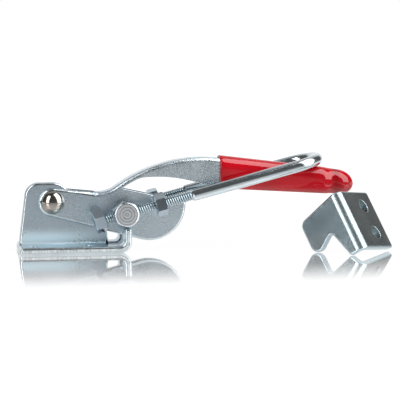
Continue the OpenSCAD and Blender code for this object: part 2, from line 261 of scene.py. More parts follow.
# zinc: fine crystal grain over slow clouds, with a passivation tint in places
def makeZincGrain():
    tree, start, end = newGroup(
        "zincGrain",
        [("Light", "colour", colour(0.6, 0.66, 0.7)), ("Dark", "colour", colour(0.4, 0.46, 0.5)),
         ("Tint", "colour", colour(0.45, 0.6, 0.62)), ("Tint Share", "value", 0.3),
         ("Grain Scale", "value", 1500.0), ("Cloud Scale", "value", 90.0),
         ("Smooth", "value", 0.26), ("Rough", "value", 0.44)],
        [("Color", "colour"), ("Roughness", "value"), ("Height", "value")],
    )
    place = addNode(tree, "ShaderNodeTexCoord").outputs["Object"]
    grain = noiseAt(tree, place, start.outputs["Grain Scale"], 5.0, 0.7)
    clouds = noiseAt(tree, place, start.outputs["Cloud Scale"], 4.0, 0.6)
    tinge = noiseAt(tree, place, sums(tree, "MULTIPLY", start.outputs["Cloud Scale"], 0.45), 2.0, 0.5)
    fine = spread(tree, grain, 0.32, 0.68)
    slow = spread(tree, clouds, 0.3, 0.7)
    level = sums(tree, "ADD", sums(tree, "MULTIPLY", fine, 0.55), sums(tree, "MULTIPLY", slow, 0.45))
    base = blendColours(tree, level, start.outputs["Dark"], start.outputs["Light"])
    share = sums(tree, "MULTIPLY", spread(tree, tinge, 0.42, 0.62), start.outputs["Tint Share"])
    join(tree, blendColours(tree, share, base, start.outputs["Tint"]), end.inputs["Color"])
    turned = sums(tree, "SUBTRACT", 1.0, level)
    join(tree, spread(tree, turned, 0.1, 0.9, start.outputs["Smooth"], start.outputs["Rough"]),
         end.inputs["Roughness"])
    join(tree, sums(tree, "ADD", fine, sums(tree, "MULTIPLY", slow, 0.5)), end.inputs["Height"])
    return tree


# streaks across a sheared or die-drawn edge, stretched by a scale for each axis
def makeShearMarks():
    tree, start, end = newGroup(
        "shearMarks",
        [("Stretch", "vector", (900.0, 900.0, 60.0)), ("Low", "value", 0.35), ("High", "value", 0.65)],
        [("Mask", "value"), ("Height", "value")],
    )
    place = addNode(tree, "ShaderNodeTexCoord").outputs["Object"]
    stretched = addNode(tree, "ShaderNodeVectorMath", operation="MULTIPLY")
    join(tree, place, stretched.inputs[0])
    join(tree, start.outputs["Stretch"], stretched.inputs[1])
    streaks = noiseAt(tree, stretched.outputs[0], 1.0, 4.0, 0.7)
    join(tree, spread(tree, streaks, start.outputs["Low"], start.outputs["High"]), end.inputs["Mask"])
    join(tree, streaks, end.inputs["Height"])
    return tree


zincGrain = makeZincGrain()
shearMarks = makeShearMarks()


# bands lay a colour along an axis, fading past their end or across x, and a dull share makes them less metallic
# there; the lighter bands are painted light and painted reflection
def metalFinish(name, look):
    material = bpy.data.materials.new(name)
    material.use_nodes = True
    tree = material.node_tree
    shader = tree.nodes["Principled BSDF"]
    shader.inputs["Metallic"].default_value = 1.0
    grain = addNode(tree, "ShaderNodeGroup", node_tree=zincGrain)
    for label, value in look["grain"].items():
        grain.inputs[label].default_value = value
    tint = grain.outputs["Color"]
    rough = grain.outputs["Roughness"]
    height = grain.outputs["Height"]
    if "streaks" in look:
        marks = addNode(tree, "ShaderNodeGroup", node_tree=shearMarks)
        for label, value in look["streaks"].items():
            marks.inputs[label].default_value = value
        share = sums(tree, "MULTIPLY", marks.outputs["Mask"], look["streakShare"])
        tint = blendColours(tree, share, tint, look["streakColour"])
        raised = sums(tree, "MULTIPLY", marks.outputs["Height"], look["streakDepth"])
        height = sums(tree, "ADD", height, raised)
    for band in look.get("bands", ()):
        place = addNode(tree, "ShaderNodeSeparateXYZ")
        join(tree, addNode(tree, "ShaderNodeTexCoord").outputs["Object"], place.inputs[0])
        along = place.outputs[band["axis"]]
        share = spread(tree, along, band["from"], band["to"], 0.0, band["share"])
        if "end" in band:
            share = sums(tree, "MULTIPLY", share, spread(tree, along, band["end"], band["to"]))
        if "across" in band:
            share = sums(tree, "MULTIPLY", share, spread(tree, place.outputs["X"], *band["across"]))
        tint = blendColours(tree, share, tint, band["colour"])
        if "dullShare" in band:
            join(tree, sums(tree, "SUBTRACT", 1.0, sums(tree, "MULTIPLY", share, band["dullShare"])),
                 shader.inputs["Metallic"])
    join(tree, tint, shader.inputs["Base Color"])
    join(tree, rough, shader.inputs["Roughness"])
    bump = addNode(tree, "ShaderNodeBump")
    bump.inputs["Strength"].default_value = look["bump"]
    bump.inputs["Distance"].default_value = look["depth"]
    join(tree, height, bump.inputs["Height"])
    join(tree, bump.outputs["Normal"], shader.inputs["Normal"])
    return material


sheetZinc = metalFinish("sheetZinc", {
    "grain": {"Light": colour(0.62, 0.71, 0.78), "Dark": colour(0.46, 0.54, 0.61),
              "Tint": colour(0.47, 0.65, 0.72), "Tint Share": 0.35,
              "Grain Scale": 1300.0, "Cloud Scale": 95.0, "Smooth": 0.26, "Rough": 0.42},
    "bump": 0.25, "depth": 0.05 * mm,
    # painted reflection: a light teal band, made duller, along the bend above the flange stands in for the
    # reflection in the concave bend
    "bands": [{"axis": "Z", "from": 12.0 * mm, "to": 6.5 * mm, "end": 1.0 * mm, "share": 0.75, "dullShare": 0.8,
               "across": (22.0 * mm, 4.0 * mm, 0.35, 1.0), "colour": colour(0.62, 0.80, 0.87)}],
})
wornZinc = metalFinish("wornZinc", {
    "grain": {"Light": colour(0.66, 0.72, 0.75), "Dark": colour(0.50, 0.56, 0.60),
              "Tint": colour(0.52, 0.64, 0.67), "Tint Share": 0.25,
              "Grain Scale": 1100.0, "Cloud Scale": 160.0, "Smooth": 0.15, "Rough": 0.26},
    "bump": 0.2, "depth": 0.04 * mm,
})
shearedZinc = metalFinish("shearedZinc", {
    "grain": {"Light": colour(0.92, 0.96, 0.98), "Dark": colour(0.68, 0.74, 0.77),
              "Tint": colour(0.70, 0.80, 0.82), "Tint Share": 0.3,
              "Grain Scale": 1700.0, "Cloud Scale": 260.0, "Smooth": 0.3, "Rough": 0.5},
    "streaks": {"Stretch": (1300.0, 200.0, 160.0), "Low": 0.4, "High": 0.62},
    "streakShare": 0.65, "streakColour": colour(0.30, 0.33, 0.35), "streakDepth": 2.2,
    "bump": 0.55, "depth": 0.12 * mm,
})
leverZinc = metalFinish("leverZinc", {
    "grain": {"Light": colour(0.70, 0.79, 0.86), "Dark": colour(0.44, 0.53, 0.60),
              "Tint": colour(0.52, 0.68, 0.75), "Tint Share": 0.3,
              "Grain Scale": 1150.0, "Cloud Scale": 120.0, "Smooth": 0.22, "Rough": 0.38},
    "bump": 0.45, "depth": 0.07 * mm,
    # painted light: these two bands paint the shank and the lever's upper part lighter
    "bands": [{"axis": "X", "from": 20.0 * mm, "to": 38.0 * mm, "share": 0.3,
               "colour": colour(0.80, 0.89, 0.93)},
              {"axis": "Z", "from": 27.0 * mm, "to": 33.0 * mm, "share": 0.3,
               "colour": colour(0.80, 0.89, 0.93)},
              {"axis": "X", "from": 61.55 * mm, "to": 61.75 * mm, "end": 61.95 * mm, "share": 0.55,
               "colour": colour(0.20, 0.23, 0.25)}],
})
boltZinc = metalFinish("boltZinc", {
    "grain": {"Light": colour(0.70, 0.76, 0.79), "Dark": colour(0.56, 0.62, 0.66),
              "Tint": colour(0.52, 0.66, 0.69), "Tint Share": 0.25,
              "Grain Scale": 1300.0, "Cloud Scale": 140.0, "Smooth": 0.10, "Rough": 0.22},
    "streaks": {"Stretch": (60.0, 700.0, 700.0), "Low": 0.42, "High": 0.68},
    "streakShare": 0.3, "streakColour": colour(0.38, 0.43, 0.46), "streakDepth": 0.8,
    "bump": 0.14, "depth": 0.04 * mm,
})
# painted shade: dark zinc painted into thread roots and hole walls
grooveShade = metalFinish("grooveShade", {
    "grain": {"Light": colour(0.30, 0.38, 0.40), "Dark": colour(0.16, 0.21, 0.23),
              "Tint": colour(0.18, 0.30, 0.31), "Tint Share": 0.4,
              "Grain Scale": 1500.0, "Cloud Scale": 200.0, "Smooth": 0.32, "Rough": 0.5},
    "bump": 0.2, "depth": 0.04 * mm,
})
nutZinc = metalFinish("nutZinc", {
    "grain": {"Light": colour(0.52, 0.59, 0.63), "Dark": colour(0.37, 0.43, 0.48),
              "Tint": colour(0.34, 0.44, 0.54), "Tint Share": 0.4,
              "Grain Scale": 1500.0, "Cloud Scale": 200.0, "Smooth": 0.12, "Rough": 0.24},
    "bump": 0.15, "depth": 0.04 * mm,
})
hookZinc = metalFinish("hookZinc", {
    "grain": {"Light": colour(0.45, 0.57, 0.62), "Dark": colour(0.40, 0.51, 0.56),
              "Tint": colour(0.38, 0.55, 0.61), "Tint Share": 0.5,
              "Grain Scale": 1000.0, "Cloud Scale": 70.0, "Smooth": 0.17, "Rough": 0.24},
    "bump": 0.03, "depth": 0.03 * mm,
    # painted reflection: the plate is painted lighter towards the bottom, where it mirrors the floor
    "bands": [{"axis": "Z", "from": 14.0 * mm, "to": 1.0 * mm, "share": 0.45,
               "colour": colour(0.78, 0.86, 0.90)}],
})
hookRim = metalFinish("hookRim", {
    "grain": {"Light": colour(0.55, 0.64, 0.68), "Dark": colour(0.42, 0.51, 0.55),
              "Tint": colour(0.44, 0.58, 0.63), "Tint Share": 0.4,
              "Grain Scale": 1000.0, "Cloud Scale": 110.0, "Smooth": 0.26, "Rough": 0.38},
    "bump": 0.1, "depth": 0.03 * mm,
})
hookBend = metalFinish("hookBend", {
    "grain": {"Light": colour(0.52, 0.60, 0.63), "Dark": colour(0.40, 0.48, 0.51),
              "Tint": colour(0.40, 0.54, 0.58), "Tint Share": 0.4,
              "Grain Scale": 900.0, "Cloud Scale": 110.0, "Smooth": 0.27, "Rough": 0.35},
    "bump": 0.06, "depth": 0.03 * mm,
})
# painted light: a lighter copy of the plate's zinc for the flange's outer face
hookFlangePaintedLight = metalFinish("hookFlangePaintedLight", {
    "grain": {"Light": colour(0.70, 0.76, 0.77), "Dark": colour(0.62, 0.68, 0.69),
              "Tint": colour(0.60, 0.70, 0.71), "Tint Share": 0.4,
              "Grain Scale": 1000.0, "Cloud Scale": 70.0, "Smooth": 0.17, "Rough": 0.26},
    "bump": 0.03, "depth": 0.03 * mm,
})
rivetNickel = metalFinish("rivetNickel", {
    "grain": {"Light": colour(0.46, 0.44, 0.41), "Dark": colour(0.37, 0.34, 0.31),
              "Tint": colour(0.34, 0.28, 0.24), "Tint Share": 0.4,
              "Grain Scale": 900.0, "Cloud Scale": 220.0, "Smooth": 0.07, "Rough": 0.15},
    "bump": 0.05, "depth": 0.03 * mm,
})


# turned end faces: tool rings round the trunnions' axis
def turnedFinish(name, look):
    material = metalFinish(name, look)
    tree = material.node_tree
    shader = tree.nodes["Principled BSDF"]
    place = addNode(tree, "ShaderNodeTexCoord").outputs["Object"]
    centre = addNode(tree, "ShaderNodeMapping")
    centre.inputs["Location"].default_value = -look["ringsAt"]
    join(tree, place, centre.inputs["Vector"])
    rings = addNode(tree, "ShaderNodeTexWave", wave_type="RINGS", rings_direction="Y")
    rings.inputs["Scale"].default_value = look["ringScale"]
    rings.inputs["Distortion"].default_value = look["ringWobble"]
    rings.inputs["Detail"].default_value = 2.0
    join(tree, centre.outputs["Vector"], rings.inputs["Vector"])
    bump = addNode(tree, "ShaderNodeBump")
    bump.inputs["Strength"].default_value = look["ringBump"]
    bump.inputs["Distance"].default_value = look["ringDepth"]
    join(tree, rings.outputs["Fac"], bump.inputs["Height"])
    old = shader.inputs["Normal"].links[0].from_socket
    join(tree, old, bump.inputs["Normal"])
    join(tree, bump.outputs["Normal"], shader.inputs["Normal"])
    shade = spread(tree, rings.outputs["Fac"], 0.2, 0.8)
    base = shader.inputs["Base Color"].links[0].from_socket
    share = sums(tree, "MULTIPLY", shade, look["ringShare"])
    join(tree, blendColours(tree, share, base, look["ringColour"]), shader.inputs["Base Color"])
    return material


turnedZinc = turnedFinish("turnedZinc", {
    "grain": {"Light": colour(0.84, 0.87, 0.90), "Dark": colour(0.68, 0.71, 0.74),
              "Tint": colour(0.60, 0.70, 0.72), "Tint Share": 0.2,
              "Grain Scale": 1600.0, "Cloud Scale": 200.0, "Smooth": 0.26, "Rough": 0.42},
    "bump": 0.2, "depth": 0.04 * mm,
    "ringsAt": trunnionAt, "ringScale": 231.0, "ringWobble": 0.6, "ringBump": 0.6, "ringDepth": 0.06 * mm,
    "ringColour": colour(0.16, 0.18, 0.19), "ringShare": 0.42,
})


# dipped vinyl: deep red with painted shade in the waist, slow waves in a glossy skin
def makeVinyl():
    look = {"red": colour(0.48, 0.001, 0.009), "deep": colour(0.37, 0.0005, 0.005),
            "crease": (131.7 * mm, 3.4 * mm), "creaseShadeColour": colour(0.27, 0.0, 0.003),
            "waves": 60.0, "specks": 1400.0, "speckShare": 0.02, "bump": 0.6, "depth": 0.6 * mm,
            "coat": 0.8, "coatRough": 0.06, "coatIor": 1.65}
    material = bpy.data.materials.new("dippedVinyl")
    material.use_nodes = True
    tree = material.node_tree
    shader = tree.nodes["Principled BSDF"]
    place = addNode(tree, "ShaderNodeTexCoord").outputs["Object"]
    waves = noiseAt(tree, place, look["waves"], 1.5, 0.4)
    specks = noiseAt(tree, place, look["specks"], 3.0, 0.6)
    along = addNode(tree, "ShaderNodeSeparateXYZ")
    join(tree, place, along.inputs[0])
    fromCrease = sums(tree, "ABSOLUTE", sums(tree, "SUBTRACT", along.outputs["X"], look["crease"][0]), 0.0)
    # painted shade: the waist is painted a darker red around the crease
    crease = spread(tree, fromCrease, look["crease"][1], 0.0)
    body = blendColours(tree, spread(tree, waves, 0.35, 0.7), look["red"], look["deep"])
    join(tree, blendColours(tree, crease, body, look["creaseShadeColour"]), shader.inputs["Base Color"])
    join(tree, spread(tree, specks, 0.3, 0.7, 0.2, 0.3), shader.inputs["Roughness"])
    shader.inputs["Specular IOR Level"].default_value = 0.0
    shader.inputs["Coat Weight"].default_value = look["coat"]
    shader.inputs["Coat Roughness"].default_value = look["coatRough"]
    shader.inputs["Coat IOR"].default_value = look["coatIor"]
    bump = addNode(tree, "ShaderNodeBump")
    bump.inputs["Strength"].default_value = look["bump"]
    bump.inputs["Distance"].default_value = look["depth"]
    fine = sums(tree, "MULTIPLY", specks, look["speckShare"])
    join(tree, sums(tree, "ADD", waves, fine), bump.inputs["Height"])
    join(tree, bump.outputs["Normal"], shader.inputs["Normal"])
    return material


dippedVinyl = makeVinyl()
print("finishes made")


# two folded base brackets, back to back
brackets = {"rim": 1.0 * mm, "holeShare": 0.25, "halfWidth": 15.0 * mm, "sheet": 3.2 * mm, "lean": 7.0,
            "holes": (12.25 * mm, 10.0 * mm), "holeReach": 2.7 * mm, "rivetReach": 3.6 * mm,
            "notch": Vector((21.0, 5.0, 0.0)) * mm, "notchReach": 0.45 * mm, "notchShare": 0.3}


def makeBracket(node, name):
    piece = solidCopy(node, name)
    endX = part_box(node)[0].x
    # the flange's end leans as the ear's does
    for point in piece.data.vertices:
        if point.co.x < endX + 0.01 * mm and point.co.z > brackets["sheet"] - 0.01 * mm:
            point.co.x += point.co.z * math.tan(math.radians(brackets["lean"]))
    weld(piece, 0.02 * mm)
    paint(piece, sheetZinc, wornZinc, shearedZinc)
    paintFaces(piece, 2, lambda at, way: abs(at.y) > brackets["halfWidth"] - 0.1 * mm)
    holeX, holeY = brackets["holes"]

    def inNotch(at):
        return (at.x > brackets["notch"].x
                and abs(abs(at.y) - brackets["notch"].y) < brackets["notchReach"])

    # narrow rims beside the notch, in the screw holes and under the rivet
    def share(a, b):
        if inNotch(a) and inNotch(b):
            return brackets["notchShare"]
        inHole = math.hypot(abs(a.x) - holeX, abs(a.y) - holeY) < brackets["holeReach"]
        underRivet = math.hypot(a.x - pivotAt.x, a.z - pivotAt.z) < brackets["rivetReach"]
        return brackets["holeShare"] if inHole or underRivet else 1.0

    roundEdges(piece, brackets["rim"], share)
    carry(piece, "base", "base_zinc", node)
    return piece


makeBracket("base_bracket_front", "frontBracket")
makeBracket("base_bracket_rear", "rearBracket")
print("brackets done")


# stamped lever
lever = {"rim": 1.2 * mm, "thinShare": 0.3, "halfWidth": 5.0 * mm, "webX": 16.9 * mm, "cheekTop": 27.0 * mm,
         "runOut": 8.0 * mm, "slope": 6.0, "holes": ((pivotAt, 6.2 * mm), (trunnionAt, 3.6 * mm)),
         "wallFrom": (26.0 * mm, 25.0 * mm), "wallShare": 0.28,
         "topShare": 1.2, "topFrom": 25.0 * mm,
         "hiddenShare": 0.05, "ease": (8.0 * mm, 19.0 * mm), "easeFrom": 26.0 * mm, "easeDeep": 1.55 * mm,
         "easeFactor": 0.5, "easeTurns": 30, "cuts": [(22.0 + 4.0 * i) * mm for i in range(15)]}


def makeLever():
    piece = solidCopy("lever", "stampedLever")
    # the square top of the cheek runs out into the round bend of the web
    for point in piece.data.vertices:
        if (abs(point.co.x - lever["webX"]) < 0.05 * mm and point.co.z > lever["cheekTop"]
                and abs(point.co.y) > lever["halfWidth"] - 0.05 * mm):
            point.co.x -= lever["runOut"]
            point.co.z += lever["runOut"] * math.tan(math.radians(lever["slope"]))
    weld(piece, 0.1 * mm)
    for x in lever["cuts"]:  # keeps the long side faces in short, sound lengths
        openMesh(piece, "VERT", whole=True)
        bpy.ops.mesh.bisect(plane_co=(x, 0, 0), plane_no=(1, 0, 0))
        closeMesh()
    paint(piece, leverZinc, wornZinc)

    # wide rims round the cheeks, narrow ones inside, in the holes and along the channel's walls
    def share(a, b):
        if all(at.x > lever["wallFrom"][0] and at.z > lever["wallFrom"][1] for at in (a, b)):
            return lever["wallShare"]
        onTop = all(at.x < lever["webX"] and at.z > lever["topFrom"] for at in (a, b))
        inHole = any(math.hypot(at.x - hole.x, at.z - hole.z) < reach
                     for at in (a, b) for hole, reach in lever["holes"])
        if inHole or min(abs(a.y), abs(b.y)) < lever["halfWidth"] - 0.1 * mm:
            return lever["hiddenShare"] if onTop else lever["thinShare"]
        return lever["topShare"] if onTop else 1.0

    roundEdges(piece, lever["rim"], share)
    # eases the meeting of cheek and web
    openMesh(piece, "VERT")
    closeMesh()
    for point in piece.data.vertices:
        point.select = (lever["ease"][0] < point.co.x < lever["ease"][1] and point.co.z > lever["easeFrom"]
                        and abs(point.co.y) > lever["halfWidth"] - lever["easeDeep"])
    bpy.ops.object.mode_set(mode="EDIT")
    bpy.ops.mesh.vertices_smooth(factor=lever["easeFactor"], repeat=lever["easeTurns"])
    closeMesh()
    evenNormals(piece)
    carry(piece, "lever", "lever_zinc", "lever")


makeLever()
print("lever done")


# domed rivet: two caps of a sphere on one shank
rivet = {"head": 11.0 * mm, "tall": 3.5 * mm, "shank": 6.3 * mm, "rim": 0.35 * mm}


def makeRivet():
    half = rivet["head"] / 2
    ball = (half * half + rivet["tall"] ** 2) / (2 * rivet["tall"])
    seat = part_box("pivot_rivet")[1].y - rivet["tall"]
    clearSelection()
    bpy.ops.mesh.primitive_uv_sphere_add(segments=64, ring_count=48, radius=ball,
                                         location=(0, 0, rivet["tall"] - ball))
    piece = newPiece("pivotRivet")
    bpy.ops.object.transform_apply(location=True)
    openMesh(piece, "VERT", whole=True)
    bpy.ops.mesh.bisect(plane_co=(0, 0, rivet["rim"]), plane_no=(0, 0, 1), clear_inner=True)
    closeMesh()
    # short upright rim, then in under the head and along the shank to the middle
    selectEdges(piece, lambda at: at.z < rivet["rim"] + 1e-6)
    bpy.ops.mesh.extrude_region_move(TRANSFORM_OT_translate={"value": (0, 0, -rivet["rim"])})
    bpy.ops.mesh.extrude_region_move()
    under = rivet["shank"] / rivet["head"]
    bpy.ops.transform.resize(value=(under, under, 1), center_override=(0, 0, 0))
    bpy.ops.mesh.extrude_region_move(TRANSFORM_OT_translate={"value": (0, 0, -seat)})
    closeMesh()
    setDown(piece, Matrix.Translation((pivotAt.x, -seat, pivotAt.z))
            @ Matrix.Rotation(math.pi / 2, 4, "X"))
    addModifier(piece, "MIRROR", use_axis=(False, True, False), merge_threshold=0.01 * mm)
    mergeAndTurnOut(piece)
    paint(piece, rivetNickel)
    smoothOff(piece, 40)
    carry(piece, "base", "rivet_nickel", "pivot_rivet")


makeRivet()
print("rivet done")


# trunnions: hexagon pillars with turned end faces
trunnions = {"ring": 0.68 * mm, "ringDepth": 0.04 * mm, "rings": 6, "end": 17.0 * mm}


def makeTrunnion(node, name):
    piece = solidCopy(node, name)
    paint(piece, nutZinc, turnedZinc)
    atEnd = lambda at, way, area: abs(at.y) > trunnions["end"] - 0.05 * mm and abs(way.y) > 0.99
    selectFaces(piece, atEnd)
    for i in range(trunnions["rings"]):
        sink = trunnions["ringDepth"] if i % 2 else -trunnions["ringDepth"]
        bpy.ops.mesh.inset(thickness=trunnions["ring"], depth=sink)
    closeMesh()
    paintFaces(piece, 1, lambda at, way: abs(at.y) > trunnions["end"] - 0.2 * mm and abs(way.y) > 0.5)
    smoothOff(piece)
    carry(piece, "trunnions", "trunnion_steel", node)


makeTrunnion("trunnion_front", "frontTrunnion")
makeTrunnion("trunnion_rear", "rearTrunnion")
print("trunnions done")


# bent bolt: plain rod round the bend, rolled thread on both legs
bolt = {"rod": 5.6 * mm, "thread": 4.8 * mm, "root": 3.75 * mm, "pitch": 1.06 * mm,
        "tail": 15.4 * mm, "front": 32.0 * mm, "shoulder": 0.6 * mm, "reach": 95.4 * mm,
        "inset": 0.5 * mm, "round": 40, "bendSteps": 40, "groove": 0.06 * mm}
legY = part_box("u_bolt")[1].y - bolt["rod"] / 2
rodPlace = Matrix.Translation(trunnionAt) @ Matrix.Rotation(rodTilt, 4, "Y")


def makeThread():
    crest, root, pitch = bolt["thread"] / 2, bolt["root"] / 2, bolt["pitch"]
    turns = math.ceil((bolt["tail"] + bolt["front"]) / pitch) + 2
    clearSelection()
    bpy.ops.mesh.primitive_plane_add(size=pitch)
    piece = newPiece("legThread")
    openMesh(piece, "VERT", whole=True)
    bpy.ops.mesh.merge(type="CENTER")
    bpy.ops.transform.translate(value=(root, 0, -bolt["tail"] - pitch))
    for outward, along in ((crest - root, 0.30), (0, 0.14), (root - crest, 0.30), (0, 0.26)):
        bpy.ops.mesh.extrude_region_move(TRANSFORM_OT_translate={"value": (outward, 0, along * pitch)})
    closeMesh()
    addModifier(piece, "SCREW", axis="Z", screw_offset=pitch, angle=2 * math.pi, iterations=turns,
                steps=bolt["round"], render_steps=bolt["round"], use_merge_vertices=True,
                merge_threshold=0.002 * mm, use_normal_calculate=True)
    openMesh(piece, "VERT", whole=True)
    bpy.ops.mesh.remove_doubles(threshold=0.002 * mm)
    bpy.ops.mesh.bisect(plane_co=(0, 0, -bolt["tail"]), plane_no=(0, 0, 1), clear_inner=True)
    bpy.ops.mesh.select_all(action="SELECT")
    bpy.ops.mesh.bisect(plane_co=(0, 0, bolt["front"]), plane_no=(0, 0, 1), clear_outer=True)
    bpy.ops.mesh.select_all(action="SELECT")
    bpy.ops.mesh.fill_holes(sides=0)
    closeMesh()
    # chamfer the start of the thread
    for point in piece.data.vertices:
        allowed = root * 0.92 + max(0.0, point.co.z + bolt["tail"])
        wide = math.hypot(point.co.x, point.co.y)
        if wide > allowed:
            point.co.x *= allowed / wide
            point.co.y *= allowed / wide
    mergeAndTurnOut(piece)
    paint(piece, boltZinc, grooveShade)
    deepest = root + bolt["groove"]
    # painted shade: the thread's root faces are painted dark
    paintFaces(piece, 1, lambda at, way: math.hypot(at.x, at.y) < deepest and abs(way.z) < 0.95)
    return piece


def makeBolt():
    bendZ = bolt["reach"] - legY
    clearSelection()
    bpy.ops.mesh.primitive_circle_add(vertices=bolt["round"], radius=bolt["root"] / 2, fill_type="NGON",
                                      location=(0, -legY, bolt["front"] - bolt["inset"]))
    piece = newPiece("bentBolt")
    bpy.ops.object.transform_apply(location=True)
    openMesh(piece, "VERT", whole=True)
    at = (0, -legY, bolt["front"])

    def grow(rise, ratio):
        bpy.ops.mesh.extrude_region_move(TRANSFORM_OT_translate={"value": (0, 0, rise)})
        bpy.ops.transform.resize(value=(ratio, ratio, 1), center_override=at)

    grow(bolt["inset"], bolt["thread"] / bolt["root"])
    grow(bolt["shoulder"], bolt["rod"] / bolt["thread"])
    grow(bendZ - bolt["front"] - bolt["shoulder"], 1)
    bpy.ops.mesh.spin(steps=bolt["bendSteps"], angle=math.pi, center=(0, 0, bendZ), axis=(1, 0, 0))
    at = (0, legY, bolt["front"])
    grow(-(bendZ - bolt["front"] - bolt["shoulder"]), 1)
    grow(-bolt["shoulder"], bolt["thread"] / bolt["rod"])
    grow(-bolt["inset"], bolt["root"] / bolt["thread"])
    closeMesh()
    mergeAndTurnOut(piece)
    nearThread = makeThread()
    pickUp(nearThread)
    bpy.ops.object.duplicate()
    farThread = newPiece("farThread")
    setDown(nearThread, Matrix.Translation((0, -legY, 0)))
    setDown(farThread, Matrix.Translation((0, legY, 0)))
    paint(piece, boltZinc, grooveShade)
    pickUp(piece)
    nearThread.select_set(True)
    farThread.select_set(True)
    bpy.ops.object.join()
    setDown(piece, rodPlace)
    smoothOff(piece, 25)
    carry(piece, "bolt", "bolt_zinc", "u_bolt")


makeBolt()
print("bolt done")


# hexagon nuts, chamfered on both faces
nuts = {"flats": 9.5 * mm, "thick": 5.0 * mm, "bore": 5.0 * mm, "sink": 5.7 * mm, "sinkDeep": 0.35 * mm,
        "faceShare": 0.97, "round": 72, "load": -12.6 * mm, "jam": 16.7 * mm}


def makeNut():
    half, faceR = nuts["thick"] / 2, nuts["flats"] / 2 * nuts["faceShare"]
    clearSelection()
    bpy.ops.mesh.primitive_circle_add(vertices=nuts["round"], radius=nuts["bore"] / 2)
    piece = newPiece("hexNut")
    openMesh(piece, "VERT", whole=True)
    steps = ((nuts["bore"], half - nuts["sinkDeep"]), (nuts["sink"], half),
             (2 * faceR, half), (2 * faceR, half))
    wide, high = nuts["bore"], 0.0
    for nextWide, nextHigh in steps:
        bpy.ops.mesh.extrude_region_move(TRANSFORM_OT_translate={"value": (0, 0, nextHigh - high)})
        ratio = nextWide / wide
        bpy.ops.transform.resize(value=(ratio, ratio, 1), center_override=(0, 0, 0))
        wide, high = nextWide, nextHigh
    closeMesh()
    # outermost ring goes out to the hexagon and down the chamfer
    for point in piece.data.vertices[-nuts["round"]:]:
        turn = math.atan2(point.co.y, point.co.x)
        off = (turn % (math.pi / 3)) - math.pi / 6
        reach = nuts["flats"] / 2 / math.cos(off)
        point.co = (reach * math.cos(turn), reach * math.sin(turn), half - (reach - faceR) / 2)
    rim = set(range(len(piece.data.vertices) - nuts["round"], len(piece.data.vertices)))
    openMesh(piece, "VERT")
    closeMesh()
    for point in piece.data.vertices:
        point.select = point.index in rim
    for edge in piece.data.edges:
        edge.select = all(i in rim for i in edge.vertices)
    bpy.ops.object.mode_set(mode="EDIT")
    bpy.ops.mesh.extrude_region_move()
    bpy.ops.transform.resize(value=(1, 1, 0), center_override=(0, 0, 0))
    closeMesh()
    addModifier(piece, "MIRROR", use_axis=(False, False, True), merge_threshold=0.01 * mm)
    mergeAndTurnOut(piece)
    return piece


def placeNut(model, node, name, along, side, turn):
    pickUp(model)
    bpy.ops.object.duplicate()
    piece = newPiece(name)
    setDown(piece, rodPlace @ Matrix.Translation((0, side * legY, along))
            @ Matrix.Rotation(math.radians(turn), 4, "Z"))
    paint(piece, nutZinc)
    smoothOff(piece, 25)
    carry(piece, "bolt", "nut_zinc", node)


nutModel = makeNut()
placeNut(nutModel, "load_nut_front", "frontLoadNut", nuts["load"], -1, 7)
placeNut(nutModel, "load_nut_rear", "rearLoadNut", nuts["load"], 1, 10)
placeNut(nutModel, "jam_nut_front", "frontJamNut", nuts["jam"], -1, 56)
placeNut(nutModel, "jam_nut_rear", "rearJamNut", nuts["jam"], 1, 40)
bpy.data.objects.remove(nutModel)
print("nuts done")


# dipped grip: a rounded sleeve through stations, a waist and a round nose
grip = {"half": 6.3 * mm, "edge": 4.8 * mm, "lowEdge": 3.0 * mm, "slope": 7.0, "crown": 0.08, "roundest": 0.9,
        "start": 78.37 * mm, "startTop": 20.89 * mm, "startLow": 5.24 * mm,
        "end": 128.29 * mm, "endTop": 14.76 * mm, "endLow": 2.18 * mm, "nose": 15.2 * mm,
        "waist": 0.6 * mm, "slim": 0.9 * mm, "sag": 0.4 * mm, "dip": 0.1 * mm,
        "tip": 130.5 * mm, "tipEase": 3.0 * mm, "wall": 1.3 * mm, "lip": 0.25 * mm, "lipLong": 0.35 * mm,
        "mouth": 0.4 * mm, "deep": 50.0 * mm, "uneven": 0.12 * mm, "unevenScale": 80.0,
        "cornerSteps": 8, "bodySteps": 24, "waistSteps": 8, "noseSteps": 10}


